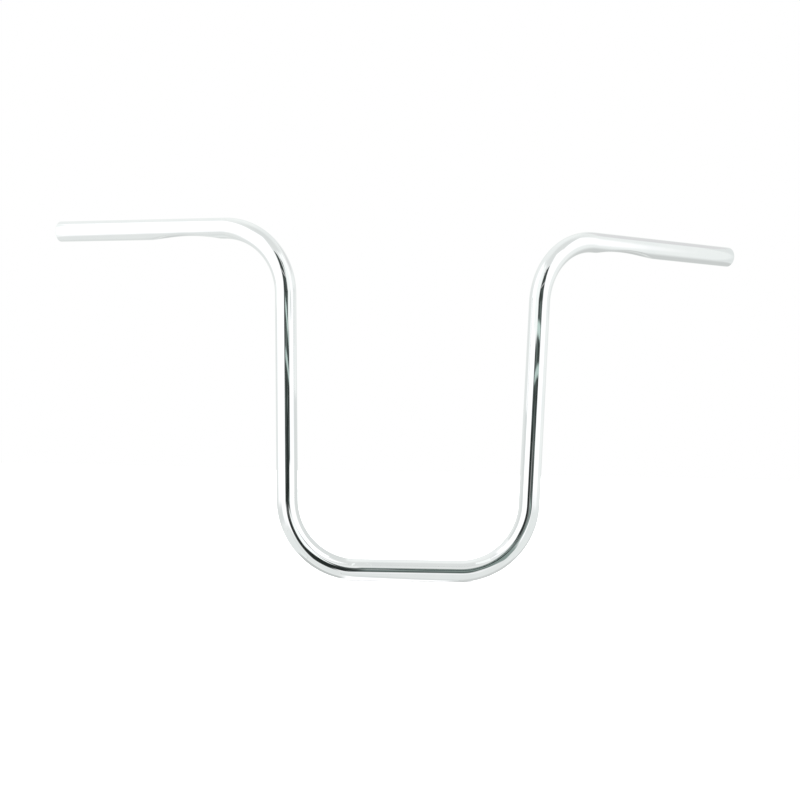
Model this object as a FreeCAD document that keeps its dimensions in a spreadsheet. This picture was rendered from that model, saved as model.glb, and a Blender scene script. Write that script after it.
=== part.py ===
"""A tall motorcycle handlebar: one bent steel tube, with a push-in plug in each end.

Units are millimetres. The origin is the middle of the clamp run's centre line, which is
where the risers hold the bar. +X points to the clutch-side grip (the rider's left), +Y
towards the rider and +Z up.

The tube is laid out the way a tube bender makes it. From the middle, each side is a
straight run, a bend, the leg, a twist, a bend and the arm, all to one bend radius. A
run's own frame has +Z along the run and +X on the outside of the bend beside it. A
bend's own frame has its axis as +Z and starts on +X.

The outside of the tube and its bore are each fused from the same chain of cylinders and
bends. A grooved wheel presses the wiring dimple into the underside of each arm, and the
same wheel, larger by the wall, keeps the wall whole inside the bore.
"""
import FreeCAD, Part
import os
import Sketcher

DIMENSIONS = {
    # Tube stock
    "tube_radius": 12.7,
    "wall": 3.05,
    # Bends and runs, from the middle outwards
    "bend_radius": 84.0,
    "clamp_run": 123.5,
    "lower_bend_angle": 88.1,
    "leg_run": 244.9,
    "arm_twist": 27.4,
    "upper_bend_angle": 87.5,
    "arm_run": 232.8,
    # Tube ends
    "end_rounding": 1.5,
    "mouth_chamfer": 0.5,
    # Wiring dimple: its middle is measured back from the tube's end
    "dimple_from_end": 180.0,
    "dimple_depth": 7.0,
    "wheel_radius": 139.0,
    "wheel_edge_radius": 20.0,
    "wheel_sector": 50.0,
    "dimple_rim_rounding": 2.5,
    # End plug
    "head_radius": 10.8,
    "head_height": 0.8,
    "head_rounding": 0.6,
    "stem_radius": 8.3,
    "stem_length": 18.0,
    "stem_wall": 1.7,
    "stem_lead_in": 1.2,
    "rib_clearance": 0.05,
    "rib_height": 2.0,
    "rib_land": 0.6,
    "rib_pitch": 4.0,
    "rib_start": 2.8,
    "rib_count": 3,
}

RIDER_SIDES = {"clutch_side": 0, "throttle_side": 180}
LENGTH_TOLERANCE = 1e-6

doc = FreeCAD.newDocument("handlebar")
sheet = doc.addObject("Spreadsheet::Sheet", "dimensions")
for row, (alias, value) in enumerate(DIMENSIONS.items(), start=1):
    sheet.set(f"A{row}", alias)
    sheet.set(f"B{row}", str(value))
    sheet.setAlias(f"B{row}", alias)
doc.recompute()


def bound(type_name, name, **expressions):
    """Add an object whose properties follow the dimensions sheet."""
    thing = doc.addObject(type_name, name)
    for prop, expression in expressions.items():
        thing.setExpression(prop, expression)
    return thing


def turn(axis, angle):
    """The expression for a rotation about one of the frame's own axes."""
    direction = {"X": "1; 0; 0", "Y": "0; 1; 0", "Z": "0; 0; 1"}[axis]
    return f"placement(vector(0; 0; 0); rotation(vector({direction}); {angle}))"


def shift(x, z):
    """The expression for a move in the plane of a run's X and Z."""
    return f"placement(vector({x}; 0; {z}); rotation(vector(0; 0; 1); 0))"


def run_of_tube(name, radius, length, frame):
    """A straight run that starts at the frame and goes along its Z."""
    return bound("Part::Cylinder", name, Radius=radius, Height=length, Placement=frame)


def bend_of_tube(name, radius, angle, frame):
    """A bend that carries on from the end of the run whose end frame is given."""
    start = f"{frame} * {shift('-dimensions.bend_radius', '0')} * {turn('X', 90)}"
    return bound("Part::Torus", name, Radius1="dimensions.bend_radius", Radius2=radius,
                 Angle3=angle, Placement=start)


def end_of_run(run, length):
    return f"{run.Name}.Placement * {shift('0', length)}"


def end_of_bend(bend, angle):
    around = f"{bend.Name}.Placement * {turn('Z', angle)}"
    return f"{around} * {shift('dimensions.bend_radius', '0')} * {turn('X', -90)}"


def half_chain(name, radius, side, heading):
    """The five pieces of one side of the bar, from the middle to the end of the arm."""
    twist = "180 + dimensions.arm_twist" if heading == 0 else "180 - dimensions.arm_twist"
    middle = f"{turn('Z', heading)} * {turn('Y', 90)}"
    clamp = run_of_tube(f"{name}_{side}_clamp", radius, "dimensions.clamp_run / 2", middle)
    lower = bend_of_tube(f"{name}_{side}_lower_bend", radius, "dimensions.lower_bend_angle",
                         end_of_run(clamp, "dimensions.clamp_run / 2"))
    leg = run_of_tube(f"{name}_{side}_leg", radius, "dimensions.leg_run",
                      end_of_bend(lower, "dimensions.lower_bend_angle"))
    upper = bend_of_tube(f"{name}_{side}_upper_bend", radius, "dimensions.upper_bend_angle",
                         f"{end_of_run(leg, 'dimensions.leg_run')} * {turn('Z', twist)}")
    arm = run_of_tube(f"{name}_{side}_arm", radius, "dimensions.arm_run",
                      end_of_bend(upper, "dimensions.upper_bend_angle"))
    return [clamp, lower, leg, upper, arm]


def pressing_wheel(name, arm, growth):
    """The sector of a grooving wheel that meets the underside of an arm."""
    reach = ("-(dimensions.tube_radius - dimensions.dimple_depth"
             " + dimensions.wheel_radius)")
    along = "dimensions.arm_run - dimensions.dimple_from_end"
    frame = (f"{arm.Name}.Placement * {shift(reach, along)} * {turn('X', 90)}"
             f" * {turn('Z', '-dimensions.wheel_sector / 2')}")
    return bound("Part::Torus", name,
                 Radius1="dimensions.wheel_radius - dimensions.wheel_edge_radius",
                 Radius2=f"dimensions.wheel_edge_radius + {growth}",
                 Angle3="dimensions.wheel_sector", Placement=frame)


def dimpled_rod(name, radius, wheel_growth):
    """A solid rod along the whole bar, dimpled under both arms. Returns it and its arms."""
    pieces = []
    arms = {}
    wheels = []
    for side, heading in RIDER_SIDES.items():
        chain = half_chain(name, radius, side, heading)
        pieces += chain
        arms[side] = chain[-1]
        wheels.append(pressing_wheel(f"{name}_{side}_wheel", chain[-1], wheel_growth))
    rod = doc.addObject("Part::MultiFuse", f"{name}_rod")
    rod.Shapes = pieces
    rod.Refine = True
    both_wheels = doc.addObject("Part::MultiFuse", f"{name}_wheels")
    both_wheels.Shapes = wheels
    dimpled = doc.addObject("Part::Cut", f"{name}_dimpled")
    dimpled.Base = rod
    dimpled.Tool = both_wheels
    doc.recompute()
    return dimpled, arms


def edge_numbers(shape, wanted_face):
    """The numbers of the edges round each face that the test picks."""
    chosen = []
    for number, edge in enumerate(shape.Edges, start=1):
        for face in filter(wanted_face, shape.Faces):
            seam = edge.isSeam(face)
            if not seam and any(edge.isSame(other) for other in face.Edges):
                chosen.append(number)
    return chosen


def is_dimple_face(face):
    surface = face.Surface
    edge_radius = float(sheet.wheel_edge_radius)
    return isinstance(surface, Part.Toroid) and abs(surface.MinorRadius - edge_radius) < 1.0


def is_end_face(face):
    return isinstance(face.Surface, Part.Plane)


def bent_tube():
    """The tube: the rounded outside less the bore, with a chamfer in each mouth."""
    outside, arms = dimpled_rod("outside", "dimensions.tube_radius", "0")
    bore, _ = dimpled_rod("bore", "dimensions.tube_radius - dimensions.wall", "dimensions.wall")

    rounded = doc.addObject("Part::Fillet", "rounded_outside")
    rounded.Base = outside
    rim = float(sheet.dimple_rim_rounding)
    end = float(sheet.end_rounding)
    rims = [(number, rim, rim) for number in edge_numbers(outside.Shape, is_dimple_face)]
    ends = [(number, end, end) for number in edge_numbers(outside.Shape, is_end_face)]
    rounded.Edges = rims + ends

    hollow = doc.addObject("Part::Cut", "hollow_tube")
    hollow.Base = rounded
    hollow.Tool = bore
    doc.recompute()

    tube = doc.addObject("Part::Chamfer", "handlebar_tube")
    tube.Base = hollow
    bevel = float(sheet.mouth_chamfer)
    bore_radius = float(sheet.tube_radius) - float(sheet.wall)
    mouths = []
    for number in edge_numbers(hollow.Shape, is_end_face):
        curve = hollow.Shape.Edges[number - 1].Curve
        if abs(curve.Radius - bore_radius) < LENGTH_TOLERANCE:
            mouths.append((number, bevel, bevel))
    tube.Edges = mouths
    tube.Label = "handlebar_tube"
    doc.recompute()
    return tube, arms


def half_profile(body, name, corners):
    """A closed outline of straight lines in the body's XZ plane, bound to the sheet."""
    plane = next(item for item in body.Origin.OriginFeatures if item.Role == "XZ_Plane")
    sketch = body.newObject("Sketcher::SketchObject", name)
    sketch.AttachmentSupport = [(plane, "")]
    sketch.MapMode = "FlatFace"
    values = [(float(sheet.evalExpression(x)), float(sheet.evalExpression(z))) for x, z in corners]
    for index, (x, z) in enumerate(values):
        next_x, next_z = values[(index + 1) % len(values)]
        start = FreeCAD.Vector(x, z, 0)
        stop = FreeCAD.Vector(next_x, next_z, 0)
        sketch.addGeometry(Part.LineSegment(start, stop), False)
    for index in range(len(values)):
        follower = (index + 1) % len(values)
        sketch.addConstraint(Sketcher.Constraint("Coincident", index, 2, follower, 1))
    for index, (x_rule, z_rule) in enumerate(corners):
        for kind, axis, rule, value in (("DistanceX", -2, x_rule, values[index][0]),
                                        ("DistanceY", -1, z_rule, values[index][1])):
            if abs(value) < LENGTH_TOLERANCE:
                sketch.addConstraint(Sketcher.Constraint("PointOnObject", index, 1, axis))
                continue
            number = sketch.addConstraint(Sketcher.Constraint(kind, -1, 1, index, 1, value))
            sketch.setExpression(f"Constraints[{number}]", rule)
    return sketch


def revolved(body, name, sketch):
    feature = body.newObject("PartDesign::Revolution", name)
    feature.Profile = sketch
    feature.ReferenceAxis = (sketch, ["V_Axis"])
    feature.Angle = 360.0
    doc.recompute()
    return feature


def end_plug(side, arm):
    """A push-in plug: a low, rounded head on a hollow stem with three gripping ribs."""
    body = doc.addObject("PartDesign::Body", f"{side}_end_plug")
    top = "dimensions.stem_length + dimensions.head_height"
    inside = "dimensions.stem_radius - dimensions.stem_wall"
    shoulder = "dimensions.stem_radius - dimensions.stem_lead_in / 2"
    shell = half_profile(body, f"{side}_plug_profile", [
        (inside, "0"),
        (shoulder, "0"),
        ("dimensions.stem_radius", "dimensions.stem_lead_in"),
        ("dimensions.stem_radius", "dimensions.stem_length"),
        ("dimensions.head_radius", "dimensions.stem_length"),
        ("dimensions.head_radius", top),
        ("0", top),
        ("0", "dimensions.stem_length - dimensions.stem_wall"),
        (inside, "dimensions.stem_length - dimensions.stem_wall"),
    ])
    revolved(body, f"{side}_plug_shell", shell)

    root = "dimensions.stem_radius - dimensions.stem_wall / 2"
    crest = "dimensions.tube_radius - dimensions.wall - dimensions.rib_clearance"
    first = "dimensions.rib_start"
    barb = half_profile(body, f"{side}_rib_profile", [
        (root, first),
        ("dimensions.stem_radius", first),
        (crest, f"{first} + dimensions.rib_height - dimensions.rib_land"),
        (crest, f"{first} + dimensions.rib_height"),
        (root, f"{first} + dimensions.rib_height"),
    ])
    rib = revolved(body, f"{side}_rib", barb)
    row = body.newObject("PartDesign::LinearPattern", f"{side}_ribs")
    row.Originals = [rib]
    row.Direction = (barb, ["V_Axis"])
    row.Mode = "Spacing"
    row.setExpression("Offset", "dimensions.rib_pitch")
    row.setExpression("Occurrences", "dimensions.rib_count")
    body.Tip = row
    doc.recompute()

    crown = body.newObject("PartDesign::Fillet", f"{side}_plug_crown")
    crown.Base = (row, [f"Edge{number}" for number in crown_edges(row.Shape)])
    crown.setExpression("Radius", "dimensions.head_rounding")
    body.Tip = crown
    seat = f"{arm.Name}.Placement * {shift('0', 'dimensions.arm_run - dimensions.stem_length')}"
    body.setExpression("Placement", seat)
    body.Label = f"{side}_end_plug"
    doc.recompute()
    return body


def crown_edges(shape):
    """The circular edge round the outer face of a plug's head."""
    top = float(sheet.stem_length) + float(sheet.head_height)
    radius = float(sheet.head_radius)
    chosen = []
    for number, edge in enumerate(shape.Edges, start=1):
        if not isinstance(edge.Curve, Part.Circle):
            continue
        at_top = abs(edge.Curve.Center.z - top) < LENGTH_TOLERANCE
        if at_top and abs(edge.Curve.Radius - radius) < LENGTH_TOLERANCE:
            chosen.append(number)
    return chosen


def check_and_export(subparts):
    """Stop on any failed object or bad shape, then write one STEP file for each sub-part."""
    for item in doc.Objects:
        if "Invalid" in item.State or "Error" in item.State:
            raise RuntimeError(f"{item.Name} did not compute: {item.State}")
    for item in subparts:
        if item.Shape.isNull() or not item.Shape.isValid():
            raise RuntimeError(f"{item.Label} has no valid shape")
    os.makedirs("parts", exist_ok=True)
    for item in subparts:
        item.Shape.exportStep(os.path.join("parts", f"{item.Label}.step"))
        box = item.Shape.BoundBox
        print(f"{item.Label}: {len(item.Shape.Solids)} solid, {item.Shape.Volume:.0f} mm3,"
              f" {box.XLength:.1f} x {box.YLength:.1f} x {box.ZLength:.1f} mm")


handlebar_tube, tube_arms = bent_tube()
plugs = [end_plug(side, tube_arms[side]) for side in RIDER_SIDES]
check_and_export([handlebar_tube] + plugs)
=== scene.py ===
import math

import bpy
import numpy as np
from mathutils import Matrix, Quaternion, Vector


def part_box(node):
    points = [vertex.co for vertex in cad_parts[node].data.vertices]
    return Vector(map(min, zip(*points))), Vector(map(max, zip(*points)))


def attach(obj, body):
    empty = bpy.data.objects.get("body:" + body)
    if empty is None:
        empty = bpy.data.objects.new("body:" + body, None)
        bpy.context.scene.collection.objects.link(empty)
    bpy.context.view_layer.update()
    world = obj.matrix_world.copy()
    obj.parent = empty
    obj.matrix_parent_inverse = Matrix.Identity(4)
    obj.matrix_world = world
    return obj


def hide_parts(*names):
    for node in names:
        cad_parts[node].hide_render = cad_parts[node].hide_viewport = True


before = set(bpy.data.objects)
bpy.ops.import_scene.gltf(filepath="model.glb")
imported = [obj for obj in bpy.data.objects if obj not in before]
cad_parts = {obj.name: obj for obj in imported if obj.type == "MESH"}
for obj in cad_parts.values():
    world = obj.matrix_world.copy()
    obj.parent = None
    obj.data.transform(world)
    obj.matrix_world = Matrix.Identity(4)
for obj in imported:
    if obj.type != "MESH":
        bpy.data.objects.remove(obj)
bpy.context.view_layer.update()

# A tall motorcycle handlebar: one bent, chromed steel tube with a push-in plug in each end.
#
# Metres, in the CAD frame: the origin is the middle of the clamp run's centre line, +X points
# to the clutch-side grip, +Y towards the rider and +Z up the legs. The tube is swept again
# here from the sizes that it is bent to, finely enough for mirror chrome.

MM = 0.001

# The bent tube
TUBE_RADIUS = 12.7 * MM
WALL = 3.05 * MM
BORE_RADIUS = TUBE_RADIUS - WALL
BEND_RADIUS = 84.0 * MM
CLAMP_RUN = 123.5 * MM
LOWER_BEND = math.radians(88.1)
LEG_RUN = 244.9 * MM
ARM_TWIST = math.radians(27.4)
UPPER_BEND = math.radians(87.5)
ARM_RUN = 232.8 * MM
END_ROUNDING = 1.5 * MM
END_FLAT_START = 1.05 * END_ROUNDING
MOUTH_CHAMFER = 0.5 * MM

# The wiring dimple that a grooved wheel presses under each arm
DIMPLE_FROM_END = 180.0 * MM
DIMPLE_DEPTH = 7.0 * MM
DIMPLE_HALF_LENGTH = 48.0 * MM
DIMPLE_RIM = 2.5 * MM
WHEEL_RADIUS = 139.0 * MM
WHEEL_EDGE = 20.0 * MM

# The push-in plug, from its open inner end
STEM_LENGTH = 18.0 * MM
STEM_RADIUS = 8.3 * MM
STEM_WALL = 1.7 * MM
STEM_LEAD_IN = 1.2 * MM
RIB_START = 2.8 * MM
RIB_HEIGHT = 2.0 * MM
RIB_LAND = 0.6 * MM
RIB_PITCH = 4.0 * MM
RIB_CREST = BORE_RADIUS - 0.05 * MM
RIB_COUNT = 3
HEAD_RADIUS = 10.8 * MM
HEAD_HEIGHT = 0.8 * MM
HEAD_ROUNDING = 0.6 * MM
GATE_RADIUS = 1.5 * MM
GATE_DEPTH = 0.3 * MM
PLUG_SHARP_ANGLE = math.radians(35)

# How finely the meshes are cut
POINTS_ROUND = 128
BEND_STEP = 1.6 * MM
DIMPLE_STEP = 1.0 * MM
STRAIGHT_STEP = 12.0 * MM
ROUNDING_STEPS = 10

# The search for the dimple's skin: where it starts, as a share of the radius, and its halvings
SEARCH_START = 0.2
SEARCH_HALVINGS = 40

# The surfaces. The polisher's marks run round the tube: their noise passes MARKS_ALONG units in
# a metre along the tube, but only a circle of radius MARKS_ROUND units once round it.
MARKS_ALONG = 2600.0
MARKS_ROUND = 1.4
MARK_HEIGHT = 0.0004 * MM
WAVE_HEIGHT = 0.05 * MM
CHROME_ROUGHNESS = (0.012, 0.06)
CHROME_TINTS = ((0.845, 0.856, 0.868, 1.0), (0.872, 0.878, 0.884, 1.0))
GRAIN_HEIGHT = 0.06 * MM
PLASTIC_ROUGHNESS = (0.42, 0.62)
PLASTIC_TINTS = ((0.022, 0.022, 0.024, 1.0), (0.042, 0.042, 0.044, 1.0))


def turned(vector, axis, angle):
    """The vector turned about an axis."""
    return Quaternion(axis, angle) @ vector


class Station:
    """A place on the tube's centre line, with the directions that its ring is drawn from.

    On the arm, to_end is how much of the tube is left before its end.
    """

    def __init__(self, point, along, zero):
        self.point = point.copy()
        self.along = along.copy()
        self.zero = zero.copy()
        self.to_end = None

    def side(self):
        return self.along.cross(self.zero)


def straight(station, length, step):
    """Stations after the given one, to the end of a straight run."""
    count = max(1, round(length / step))
    made = []
    for index in range(1, count + 1):
        point = station.point + station.along * (length * index / count)
        made.append(Station(point, station.along, station.zero))
    return made


def bent(station, inward, angle):
    """Stations after the given one, round a bend whose centre lies inward."""
    centre = station.point + inward * BEND_RADIUS
    axis = station.along.cross(inward)
    count = max(1, round(BEND_RADIUS * angle / BEND_STEP))
    made = []
    for index in range(1, count + 1):
        part = angle * index / count
        point = centre + turned(station.point - centre, axis, part)
        along = turned(station.along, axis, part)
        made.append(Station(point, along, turned(station.zero, axis, part)))
    return made


def half_route():
    """Stations from the middle of the bar to where the clutch-side end starts to round.

    The second result is the direction that the arm's underside faces.
    """
    route = [Station(Vector((0, 0, 0)), Vector((1, 0, 0)), Vector((0, 0, -1)))]
    route += straight(route[-1], CLAMP_RUN / 2, STRAIGHT_STEP)
    route += bent(route[-1], Vector((0, 0, 1)), LOWER_BEND)
    route += straight(route[-1], LEG_RUN, STRAIGHT_STEP)
    leg = route[-1]
    outward = Vector((math.sin(LOWER_BEND), 0, -math.cos(LOWER_BEND)))
    sweep = outward * math.cos(ARM_TWIST) + Vector((0, 1, 0)) * math.sin(ARM_TWIST)
    route += bent(leg, sweep, UPPER_BEND)
    arm = route[-1]
    down = turned(sweep, leg.along.cross(sweep), UPPER_BEND)
    before = ARM_RUN - DIMPLE_FROM_END - DIMPLE_HALF_LENGTH
    after = DIMPLE_FROM_END - DIMPLE_HALF_LENGTH - END_ROUNDING
    run = straight(arm, before, STRAIGHT_STEP)
    run += straight(run[-1], 2 * DIMPLE_HALF_LENGTH, DIMPLE_STEP)
    run += straight(run[-1], after, STRAIGHT_STEP)
    for station in run:
        station.to_end = ARM_RUN - (station.point - arm.point).length
    return route + run, down


def dimple_gap(x, y, along, growth):
    """How far a point is inside the pressing wheel's surface; x points at the wheel."""
    axle = TUBE_RADIUS - DIMPLE_DEPTH + WHEEL_RADIUS
    rim = WHEEL_RADIUS - WHEEL_EDGE
    from_axle = np.hypot(axle - x, along)
    return WHEEL_EDGE + growth - np.hypot(from_axle - rim, y)


def section_radius(angles, along, radius, growth, rounding):
    """The tube's radius at each angle from the dimple's middle, at a distance along it."""
    low = np.full_like(angles, SEARCH_START * radius)
    high = np.full_like(angles, radius)
    for _ in range(SEARCH_HALVINGS):
        middle = (low + high) / 2
        tube = middle - radius
        gap = dimple_gap(middle * np.cos(angles), middle * np.sin(angles), along, growth)
        corner = np.hypot(np.maximum(tube + rounding, 0), np.maximum(gap + rounding, 0))
        outside = np.minimum(-rounding, np.maximum(tube, gap)) + corner > 0
        high = np.where(outside, middle, high)
        low = np.where(outside, low, middle)
    return (low + high) / 2


def ring_at(station, radius, down, growth=0.0, rounding=DIMPLE_RIM, shift=0.0):
    """The points of one ring of the tube's skin, or of its bore.

    For the bore, growth makes the pressing wheel larger by the wall. The ring lies at its
    station, or further along by shift.
    """
    turn = np.arange(POINTS_ROUND) * (2 * math.pi / POINTS_ROUND)
    radii = np.full(POINTS_ROUND, radius)
    if station.to_end is not None:
        offset = station.to_end - DIMPLE_FROM_END
        if abs(offset) <= DIMPLE_HALF_LENGTH + DIMPLE_STEP:
            facing = math.atan2(down.dot(station.side()), down.dot(station.zero))
            radii = section_radius(turn - facing, offset, radius, growth, rounding)
    centre = np.array(station.point + station.along * shift)
    spokes = np.outer(np.cos(turn), station.zero) + np.outer(np.sin(turn), station.side())
    return centre + spokes * radii[:, None]


def mirrored(rings):
    """The same rings on the throttle side, from that side's end to the middle."""
    return [ring * np.array((-1.0, 1.0, 1.0)) for ring in reversed(rings)]


def new_piece(name, points, faces):
    """A smooth-shaded mesh object in the scene."""
    mesh = bpy.data.meshes.new(name)
    mesh.from_pydata(points.tolist(), [], faces)
    mesh.shade_smooth()
    mesh.update()
    piece = bpy.data.objects.new(name, mesh)
    bpy.context.scene.collection.objects.link(piece)
    return piece


def skin_of_rings(name, rings, sharp_rings):
    """A closed skin over a loop of rings. Its UVs hold the turn round and the run along."""
    count = len(rings[0])
    rows = len(rings)
    faces = []
    for row in range(rows):
        start = row * count
        after = ((row + 1) % rows) * count
        for index in range(count):
            follower = (index + 1) % count
            faces.append((start + index, start + follower, after + follower, after + index))
    piece = new_piece(name, np.concatenate(rings), faces)
    mesh = piece.data
    for edge in mesh.edges:
        first, second = (vertex // count for vertex in edge.vertices)
        if first == second and first in sharp_rings:
            edge.use_edge_sharp = True

    centres = np.array([ring.mean(axis=0) for ring in rings])
    steps = np.linalg.norm(np.roll(centres, -1, axis=0) - centres, axis=1)
    along = np.concatenate(([0.0], np.cumsum(steps)))
    index = np.tile(np.arange(count), rows)
    row = np.repeat(np.arange(rows), count)
    round_part = np.stack((index, index + 1, index + 1, index), axis=1) / count
    along_part = np.stack((along[row], along[row], along[row + 1], along[row + 1]), axis=1)
    layer = mesh.uv_layers.new(name="lay")
    layer.data.foreach_set("uv", np.stack((round_part, along_part), axis=2).ravel())
    return piece


def end_rings(station, down):
    """The rounded end, the flat of the wall and the mouth's chamfer, from outside in."""
    rings = []
    for index in range(1, ROUNDING_STEPS + 1):
        turn = math.pi / 2 * index / ROUNDING_STEPS
        radius = TUBE_RADIUS - END_ROUNDING * (1 - math.cos(turn))
        rings.append(ring_at(station, radius, down, shift=END_ROUNDING * math.sin(turn)))
    flat = END_ROUNDING
    rings.append(ring_at(station, TUBE_RADIUS - END_FLAT_START, down, shift=flat))
    rings.append(ring_at(station, BORE_RADIUS + MOUTH_CHAMFER, down, shift=flat))
    rings.append(ring_at(station, BORE_RADIUS, down, shift=flat - MOUTH_CHAMFER))
    return rings


def bent_tube(route, down):
    """The whole tube, outside and bore, as one closed skin."""
    outside = [ring_at(station, TUBE_RADIUS, down) for station in route]
    bore_route = route[:-1]
    bore = [ring_at(station, BORE_RADIUS, down, WALL, DIMPLE_RIM / 2) for station in bore_route]
    end = end_rings(route[-1], down)
    throttle_half = mirrored(outside[1:] + end)
    clutch_half = outside + end
    back = bore[::-1] + mirrored(bore[1:])[::-1]

    # Both edges of the chamfer at each mouth are sharp
    clutch_mouth = len(throttle_half) + len(clutch_half) - 1
    sharp = {0, 1, clutch_mouth - 1, clutch_mouth}
    return skin_of_rings("bent_tube", throttle_half + clutch_half + back, sharp)


def plug_profile():
    """The plug's outline as radius and height, from the middle of its head inwards."""
    top = STEM_LENGTH + HEAD_HEIGHT
    outline = [
        (0.0, top - GATE_DEPTH),
        (GATE_RADIUS, top - GATE_DEPTH),
        (GATE_RADIUS + GATE_DEPTH, top),
        (HEAD_RADIUS - HEAD_ROUNDING, top),
    ]
    for index in range(1, ROUNDING_STEPS + 1):
        turn = math.pi / 2 * index / ROUNDING_STEPS
        radius = HEAD_RADIUS - HEAD_ROUNDING * (1 - math.sin(turn))
        outline.append((radius, top - HEAD_ROUNDING * (1 - math.cos(turn))))
    outline += [(HEAD_RADIUS, STEM_LENGTH), (STEM_RADIUS, STEM_LENGTH)]
    for rib in reversed(range(RIB_COUNT)):
        foot = RIB_START + RIB_PITCH * rib
        outline += [
            (STEM_RADIUS, foot + RIB_HEIGHT),
            (RIB_CREST, foot + RIB_HEIGHT),
            (RIB_CREST, foot + RIB_HEIGHT - RIB_LAND),
            (STEM_RADIUS, foot),
        ]
    inside = STEM_RADIUS - STEM_WALL
    outline += [
        (STEM_RADIUS, STEM_LEAD_IN),
        (STEM_RADIUS - STEM_LEAD_IN / 2, 0.0),
        (inside, 0.0),
        (inside, STEM_LENGTH - STEM_WALL),
        (0.0, STEM_LENGTH - STEM_WALL),
    ]
    return outline


def end_plug(name, seat, mirror):
    """A plug turned from its outline, with its stem's open end at the seat.

    With mirror at -1 it goes in the throttle-side end.
    """
    outline = plug_profile()
    turn = np.arange(POINTS_ROUND) * (2 * math.pi / POINTS_ROUND)
    spokes = np.outer(np.cos(turn), seat.zero) + np.outer(np.sin(turn), seat.side())
    start = np.array(seat.point)
    along = np.array(seat.along)
    flip = np.array((mirror, 1.0, 1.0))
    points = [(start + along * outline[0][1]) * flip]
    for radius, height in outline[1:-1]:
        points += list((start + along * height + spokes * radius) * flip)
    points.append((start + along * outline[-1][1]) * flip)

    faces = []
    last = len(points) - 1
    rows = len(outline) - 2
    for index in range(POINTS_ROUND):
        follower = (index + 1) % POINTS_ROUND
        faces.append((0, 1 + index, 1 + follower))
        for row in range(rows - 1):
            here = 1 + row * POINTS_ROUND
            after = here + POINTS_ROUND
            faces.append((here + index, after + index, after + follower, here + follower))
        inner = 1 + (rows - 1) * POINTS_ROUND
        faces.append((inner + index, last, inner + follower))
    if mirror < 0:
        faces = [face[::-1] for face in faces]
    piece = new_piece(name, np.array(points), faces)
    piece.data.set_sharp_from_angle(angle=PLUG_SHARP_ANGLE)
    return piece


# Materials
def new_material(name):
    """A material, its node tree and its Principled shader."""
    material = bpy.data.materials.new(name)
    material.use_nodes = True
    tree = material.node_tree
    return material, tree, tree.nodes["Principled BSDF"]


def node(tree, kind, **settings):
    """A shader node with its properties and its inputs' values set."""
    made = tree.nodes.new(kind)
    for name, value in settings.items():
        if hasattr(made, name):
            setattr(made, name, value)
        else:
            made.inputs[name.replace("_", " ")].default_value = value
    return made


def math_node(tree, operation, first, second=None):
    """What one operation makes of one or two values, each a number or a node's output."""
    made = tree.nodes.new("ShaderNodeMath")
    made.operation = operation
    for socket, value in zip(made.inputs, (first, second)):
        if isinstance(value, (int, float)):
            socket.default_value = value
        elif value is not None:
            tree.links.new(value, socket)
    return made.outputs[0]


def faded(tree, value, start, stop):
    """A factor that grows smoothly from 0 at start to 1 at stop."""
    made = node(tree, "ShaderNodeMapRange", interpolation_type="SMOOTHSTEP")
    tree.links.new(value, made.inputs["Value"])
    made.inputs["From Min"].default_value = start
    made.inputs["From Max"].default_value = stop
    return made.outputs["Result"]


def spread(tree, value, low, high):
    """A factor from 0 to 1 spread between two values."""
    made = node(tree, "ShaderNodeMapRange")
    tree.links.new(value, made.inputs["Value"])
    made.inputs["To Min"].default_value = low
    made.inputs["To Max"].default_value = high
    return made.outputs["Result"]


def two_tones(tree, value, start, stop, tints):
    """A colour that blends from the first tint to the second between two values."""
    made = node(tree, "ShaderNodeValToRGB")
    for element, position, tint in zip(made.color_ramp.elements, (start, stop), tints):
        element.position = position
        element.color = tint
    tree.links.new(value, made.inputs["Fac"])
    return made.outputs["Color"]


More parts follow.
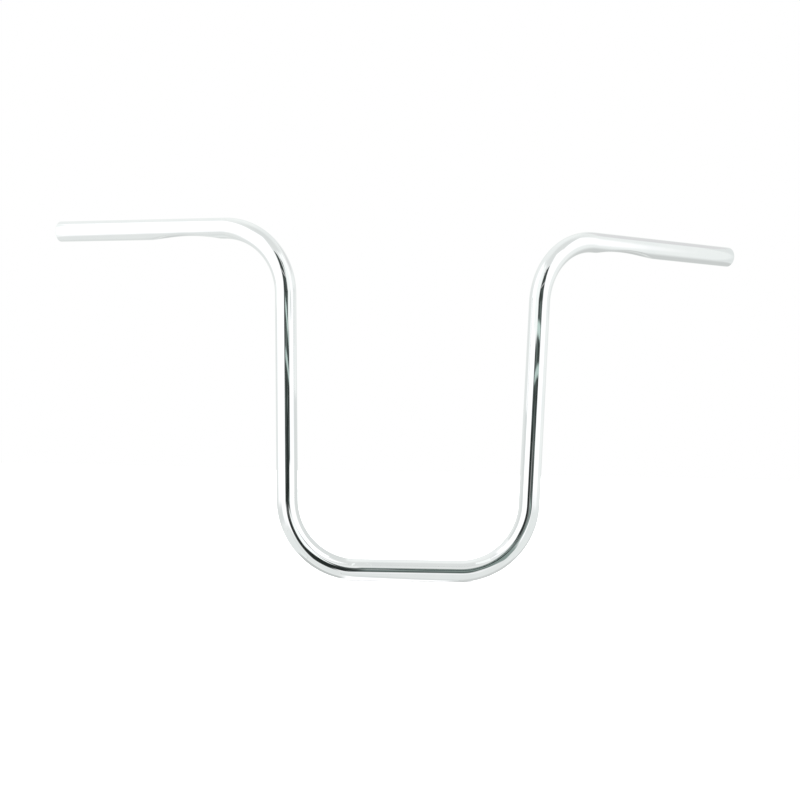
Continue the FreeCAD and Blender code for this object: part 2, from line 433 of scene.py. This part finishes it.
def mirror_chrome():
    """Mirror chrome with a polisher's lay round the tube, and the faintest waviness."""
    material, tree, shader = new_material("mirror_chrome")
    shader.inputs["Metallic"].default_value = 1.0

    place = node(tree, "ShaderNodeTexCoord")
    lay = node(tree, "ShaderNodeSeparateXYZ")
    tree.links.new(place.outputs["UV"], lay.inputs[0])
    turn = math_node(tree, "MULTIPLY", lay.outputs["X"], 2 * math.pi)
    round_x = math_node(tree, "COSINE", turn)
    round_y = math_node(tree, "SINE", turn)
    wrap = node(tree, "ShaderNodeCombineXYZ")
    tree.links.new(math_node(tree, "MULTIPLY", lay.outputs["Y"], MARKS_ALONG), wrap.inputs["X"])
    tree.links.new(math_node(tree, "MULTIPLY", round_x, MARKS_ROUND), wrap.inputs["Y"])
    tree.links.new(math_node(tree, "MULTIPLY", round_y, MARKS_ROUND), wrap.inputs["Z"])
    polish = node(tree, "ShaderNodeTexNoise", Scale=1.0, Detail=3.0, Roughness=0.6)
    tree.links.new(wrap.outputs[0], polish.inputs["Vector"])

    cloud = node(tree, "ShaderNodeTexNoise", Scale=34.0, Detail=4.0, Roughness=0.55)
    tree.links.new(place.outputs["Object"], cloud.inputs["Vector"])
    tint = two_tones(tree, cloud.outputs["Fac"], 0.3, 0.7, CHROME_TINTS)
    tree.links.new(tint, shader.inputs["Base Color"])

    dull = math_node(tree, "MULTIPLY", polish.outputs["Fac"], cloud.outputs["Fac"])
    tree.links.new(spread(tree, dull, *CHROME_ROUGHNESS), shader.inputs["Roughness"])

    wave = node(tree, "ShaderNodeTexNoise", Scale=22.0, Detail=1.0)
    tree.links.new(place.outputs["Object"], wave.inputs["Vector"])
    waves = node(tree, "ShaderNodeBump", Strength=1.0, Distance=WAVE_HEIGHT)
    tree.links.new(wave.outputs["Fac"], waves.inputs["Height"])
    marks = node(tree, "ShaderNodeBump", Strength=1.0, Distance=MARK_HEIGHT)
    tree.links.new(polish.outputs["Fac"], marks.inputs["Height"])
    tree.links.new(waves.outputs["Normal"], marks.inputs["Normal"])
    tree.links.new(marks.outputs["Normal"], shader.inputs["Normal"])
    return material


def moulded_plastic():
    """Black moulded plastic with a fine spark-eroded grain."""
    material, tree, shader = new_material("moulded_plastic")
    place = node(tree, "ShaderNodeTexCoord")
    grain = node(tree, "ShaderNodeTexVoronoi", Scale=2600.0)
    tree.links.new(place.outputs["Object"], grain.inputs["Vector"])
    cloud = node(tree, "ShaderNodeTexNoise", Scale=260.0, Detail=5.0)
    tree.links.new(place.outputs["Object"], cloud.inputs["Vector"])
    tint = two_tones(tree, cloud.outputs["Fac"], 0.35, 0.7, PLASTIC_TINTS)
    tree.links.new(tint, shader.inputs["Base Color"])
    dull = spread(tree, cloud.outputs["Fac"], *PLASTIC_ROUGHNESS)
    tree.links.new(dull, shader.inputs["Roughness"])
    bump = node(tree, "ShaderNodeBump", Strength=0.5, Distance=GRAIN_HEIGHT)
    tree.links.new(grain.outputs["Distance"], bump.inputs["Height"])
    tree.links.new(bump.outputs["Normal"], shader.inputs["Normal"])
    return material


route, down = half_route()
end = route[-1]
seat = Station(end.point + end.along * (END_ROUNDING - STEM_LENGTH), end.along, end.zero)
tube = bent_tube(route, down)
clutch_plug = end_plug("clutch_side_plug", seat, 1.0)
throttle_plug = end_plug("throttle_side_plug", seat, -1.0)

chrome = mirror_chrome()
plastic = moulded_plastic()
for piece, cad_node, slot, material in (
    (tube, "handlebar_tube", "chromed_steel", chrome),
    (clutch_plug, "clutch_side_end_plug", "plug_plastic", plastic),
    (throttle_plug, "throttle_side_end_plug", "plug_plastic", plastic),
):
    piece.data.materials.append(material)
    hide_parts(cad_node)
    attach(piece, "root")


# The studio: a pale floor, a white room, large soft lights and the dark in front of the camera.
# Most of its greys are slightly green, the dark ones more than the pale ones.
WHITE = (1.0, 1.0, 1.0, 1.0)
COOL_DARK = (0.80, 1.0, 0.93, 1.0)
COOL_PALE = (0.965, 1.0, 0.98, 1.0)

# The floor
FLOOR_GREY = (0.9, 0.9, 0.9, 1.0)
FLOOR_REACH = 60.0
FLOOR_SIDES = 64

# The room as the chrome reflects it, and the even light in it
ROOM_TINT = (0.97, 1.0, 0.98, 1.0)
ROOM_LEVEL = 0.90
ROOM_FILL = 2.2

# Where a patchy card's patches fade in and are whole, as values of their noise
PATCH_EDGE = (0.42, 0.66)


def only_reflected(thing):
    """Makes a thing of the studio one that is seen only in the chrome."""
    thing.visible_camera = False
    thing.visible_diffuse = False
    thing.visible_transmission = False
    thing.visible_shadow = False
    thing.visible_volume_scatter = False


def soft_card(name, corner, across, up, brightness, softness, colour=WHITE, patchy=0.0):
    """A flat card that shines, evenly or in patches, and fades out towards its edges.

    It spans across and up from its corner. Its fade is softness wide, in metres, and patchy is
    how much more its brightest patches shine. A dark card hides what is brighter behind it.
    """
    corner, across, up = Vector(corner), Vector(across), Vector(up)
    points = np.array([corner, corner + across, corner + across + up, corner + up])
    card = new_piece(name, points, [(0, 1, 2, 3)])
    layer = card.data.uv_layers.new(name="spread")
    layer.data.foreach_set("uv", [0, 0, 1, 0, 1, 1, 0, 1])
    material, tree, shader = new_material(name)
    tree.nodes.remove(shader)
    place = node(tree, "ShaderNodeUVMap")
    parts = node(tree, "ShaderNodeSeparateXYZ")
    tree.links.new(place.outputs[0], parts.inputs[0])
    cover = 1.0
    for part, length in (("X", across.length), ("Y", up.length)):
        centred = math_node(tree, "ABSOLUTE", math_node(tree, "SUBTRACT", parts.outputs[part], 0.5))
        edge = faded(tree, centred, 0.5, 0.5 - softness / length)
        cover = math_node(tree, "MULTIPLY", edge, cover)
    shine = node(tree, "ShaderNodeEmission", Color=colour, Strength=brightness)
    if patchy > 0:
        patches = node(tree, "ShaderNodeTexNoise", Scale=7.0, Detail=2.0)
        tree.links.new(place.outputs[0], patches.inputs["Vector"])
        uneven = faded(tree, patches.outputs["Fac"], *PATCH_EDGE)
        strength = spread(tree, uneven, brightness, brightness + patchy)
        tree.links.new(strength, shine.inputs["Strength"])
    clear = node(tree, "ShaderNodeBsdfTransparent")
    blend = node(tree, "ShaderNodeMixShader")
    tree.links.new(cover, blend.inputs["Fac"])
    tree.links.new(clear.outputs[0], blend.inputs[1])
    tree.links.new(shine.outputs[0], blend.inputs[2])
    tree.links.new(blend.outputs[0], tree.nodes["Material Output"].inputs["Surface"])
    card.data.materials.append(material)
    only_reflected(card)


# In the cards' names, left and right are the camera's, so the clutch side is on the right.

# Large soft lights at both sides and in front, either side of the camera, and a low one
soft_card("left_soft_light", (-1.2, -1.75, -0.65), (0, 2.4, 0), (0, 0, 3.25), 1.25, 0.5)
soft_card("right_soft_light", (1.2, -1.35, -0.6), (0, 1.2, 0), (0, 0, 2.9), 1.2, 0.2)
soft_card("left_front_light", (-1.3, -1.35, -0.5), (0.85, 0, 0), (0, 0, 2.9), 1.2, 0.15)
soft_card("right_front_light", (0.42, -1.35, -0.6), (0.9, 0, 0), (0, 0, 3.0), 1.2, 0.15)
soft_card("low_front_light", (-0.5, -1.35, -1.0), (1.2, 0, 0), (0, 0, 0.42), 1.05, 0.12)

# Dark clothes in front of the camera with two glints across them, and darks and greys below
soft_card("dark_clothes", (-0.69, -1.25, -0.06), (1.36, 0, 0), (0, 0, 0.66), 0.04, 0.1, COOL_DARK, 0.14)
soft_card("upper_glint", (-0.33, -1.245, 0.414), (0.83, 0, -0.045), (0, 0, 0.045), 0.72, 0.015, COOL_DARK)
soft_card("lower_glint", (-0.38, -1.245, 0.315), (1.0, 0, -0.015), (0, 0, 0.04), 0.66, 0.015, COOL_DARK)
soft_card("black_below", (-0.52, -1.24, -0.68), (0.56, 0, 0), (0.14, 0, 0.86), 0.02, 0.12, COOL_DARK)
soft_card("grey_below", (0.1, -1.23, -0.12), (0.72, 0, -0.55), (0.14, 0, 0.26), 0.33, 0.09, COOL_DARK)
soft_card("dark_below", (-0.04, -1.225, -0.48), (0.42, 0, 0), (0, 0, 0.56), 0.15, 0.07, COOL_DARK)
soft_card("light_streak", (-0.5, -1.22, -0.34), (0.66, 0, 0.48), (-0.04, 0, 0.12), 0.42, 0.05)
soft_card("faint_streak", (0.02, -1.222, -0.04), (0.36, 0, 0), (0, 0, 0.13), 0.46, 0.035, COOL_DARK)

# A grey card behind and above the clutch-side arm, which darkens its upper edge
soft_card("grey_behind_arm", (1.4, 0.35, 0.9), (-0.66, 0.75, 0), (-0.38, -0.33, 0.49), 0.80, 0.2)

# Shades before the upper bends, each with a lighter dash across it. They lie edge-on to the
# clamp run, so that it never reflects them.
SHADE_RISE = (0, -0.593, 0.755)
soft_card("left_shade", (-0.29, -0.269, 0.341), (0.26, 0, 0), SHADE_RISE, 0.04, 0.05, COOL_DARK, 0.1)
soft_card("right_shade", (0.02, -0.269, 0.341), (0.29, 0, 0), SHADE_RISE, 0.04, 0.05, COOL_DARK, 0.1)
soft_card("left_dash", (-0.29, -0.355, 0.465), (0.26, 0, 0), (0, -0.035, 0.042), 0.45, 0.02)
soft_card("right_dash", (0.02, -0.355, 0.465), (0.27, 0, 0), (0, -0.035, 0.042), 0.45, 0.02)

# A fin that hides each shade from the other leg, edge-on to the clamp run too
soft_card(
    "fin_between_shades", (-0.019, -0.1, 0.3), (0.0207, -0.31, 0), (0.0286, 0, 0.39),
    1.10, 0.03, COOL_PALE,
)

# Smaller cards round the lower bends, the clamp run and both tips
soft_card("black_by_left_leg", (-0.155, -0.5, -0.14), (0.155, 0, 0), (0, 0, 0.36), 0.03, 0.03, COOL_DARK)
soft_card("black_below_left_bend", (-0.34, -0.5, -0.38), (0.24, 0, 0), (0, 0, 0.44), 0.03, 0.05, COOL_DARK)
soft_card("grey_left", (-0.45, -0.2, -0.12), (0, 0.9, 0), (0, 0, 0.21), 0.84, 0.09, COOL_PALE)
soft_card("pale_left", (-0.46, -0.35, -0.5), (0, 1.0, 0), (0, 0, 0.42), 0.93, 0.06, COOL_PALE)
soft_card("pale_right", (0.45, -0.7, -0.3), (0, 0.9, 0), (0, 0, 0.40), 0.93, 0.08, COOL_PALE)
soft_card("grey_under_left_bend", (-0.25, 0.0, -0.1), (0.2, 0, 0), (0, 0.2, 0), 0.58, 0.05, COOL_PALE)
soft_card("grey_between_legs", (-0.07, -0.025, 0.02), (0, 0.15, 0), (0, 0, 0.2), 0.82, 0.02, COOL_PALE)
soft_card("white_under_clamp_run", (-0.088, -0.035, -0.05), (0.16, 0.055, 0), (0, 0.36, 0), 1.3, 0.02)
soft_card(
    "edge_under_clamp_run", (-0.088, -0.049, -0.049), (0.16, 0.055, 0), (0, 0.024, 0),
    0.83, 0.006, COOL_PALE,
)
soft_card("grey_beyond_tip", (0.5, 0.108, 0.33), (0, 0.17, 0), (0, 0, 0.19), 0.90, 0.015, COOL_PALE)
soft_card("pale_beyond_left_tip", (-0.5, 0.108, 0.33), (0, 0.17, 0), (0, 0, 0.19), 1.08, 0.015, COOL_PALE)
soft_card("left_bend_light", (-0.128, -0.158, 0.010), (0.062, 0, 0), (0, 0, 0.066), 1.15, 0.01, COOL_PALE)
soft_card("left_corner_light", (-0.085, -0.16, 0.045), (0.045, 0, 0), (0, 0, 0.09), 1.15, 0.015)


def pale_floor():
    """A wide pale floor that the bar stands on, and that the chrome doesn't reflect."""
    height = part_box("handlebar_tube")[0].z
    turns = np.linspace(0, 2 * math.pi, FLOOR_SIDES, False)
    ring = [(math.cos(turn), math.sin(turn)) for turn in turns]
    points = np.array([(x * FLOOR_REACH, y * FLOOR_REACH, height) for x, y in ring])
    floor = new_piece("pale_floor", points, [tuple(range(FLOOR_SIDES))])
    material, _, shader = new_material("pale_floor")
    shader.inputs["Base Color"].default_value = FLOOR_GREY
    shader.inputs["Roughness"].default_value = 1.0
    shader.inputs["Specular IOR Level"].default_value = 0.0
    floor.data.materials.append(material)
    floor.visible_glossy = False


pale_floor()


def lobe(tree, direction, azimuth, elevation, inner, outer, gain):
    """Light added round one direction of the room; azimuth 0 is -Y and 90 is +X.

    It is whole up to inner degrees from that direction, and fades out by outer degrees. A
    negative gain takes light away.
    """
    turn, rise = math.radians(azimuth), math.radians(elevation)
    flat = math.cos(rise)
    axis = (math.sin(turn) * flat, -math.cos(turn) * flat, math.sin(rise))
    lean = tree.nodes.new("ShaderNodeVectorMath")
    lean.operation = "DOT_PRODUCT"
    tree.links.new(direction, lean.inputs[0])
    lean.inputs[1].default_value = axis
    edge, full = math.cos(math.radians(outer)), math.cos(math.radians(inner))
    return math_node(tree, "MULTIPLY", faded(tree, lean.outputs["Value"], edge, full), gain)


def white_room():
    """A white room: even light on what is seen, soft differences in what chrome reflects."""
    world = bpy.data.worlds.new("white_room")
    bpy.context.scene.world = world
    world.use_nodes = True
    tree = world.node_tree
    place = node(tree, "ShaderNodeTexCoord")
    direction = place.outputs["Generated"]
    level = ROOM_LEVEL
    for azimuth, elevation, inner, outer, gain in (
        (140, -38, 12, 45, -0.20),
        (-178, -32, 8, 30, -0.06),
        (20, 66, 12, 32, -0.06),
        (140, 50, 12, 45, 0.06),
        (-140, 55, 12, 45, 0.10),
        (84, 2, 28, 58, 0.11),
    ):
        part = lobe(tree, direction, azimuth, elevation, inner, outer, gain)
        level = math_node(tree, "ADD", part, level)
    reflected = node(tree, "ShaderNodeBackground")
    tree.links.new(level, reflected.inputs["Strength"])
    reflected.inputs["Color"].default_value = ROOM_TINT
    even = node(tree, "ShaderNodeBackground", Color=WHITE, Strength=ROOM_FILL)
    seen = node(tree, "ShaderNodeBackground", Color=WHITE, Strength=1.0)
    ray = node(tree, "ShaderNodeLightPath")
    glossy = node(tree, "ShaderNodeMixShader")
    tree.links.new(ray.outputs["Is Glossy Ray"], glossy.inputs["Fac"])
    tree.links.new(even.outputs[0], glossy.inputs[1])
    tree.links.new(reflected.outputs[0], glossy.inputs[2])
    camera_ray = node(tree, "ShaderNodeMixShader")
    tree.links.new(ray.outputs["Is Camera Ray"], camera_ray.inputs["Fac"])
    tree.links.new(glossy.outputs[0], camera_ray.inputs[1])
    tree.links.new(seen.outputs[0], camera_ray.inputs[2])
    tree.links.new(camera_ray.outputs[0], tree.nodes["World Output"].inputs["Surface"])


white_room()
bpy.context.scene.view_settings.view_transform = "Standard"

# The camera
CAMERA_POINT = Vector((-0.2251, -1.9047, 0.1202))
CAMERA_AIM = Vector((-0.0138, 0.0, 0.2033))
CAMERA_ROLL = math.radians(1.30)

camera_data = bpy.data.cameras.new("camera")
camera_data.lens = 72.0
camera_data.sensor_width = 36.0
camera = bpy.data.objects.new("camera", camera_data)
bpy.context.scene.collection.objects.link(camera)
camera.location = CAMERA_POINT
camera.rotation_mode = "QUATERNION"
look = (CAMERA_AIM - CAMERA_POINT).to_track_quat("-Z", "Y")
camera.rotation_quaternion = look @ Quaternion((0, 0, 1), CAMERA_ROLL)
bpy.context.scene.camera = camera
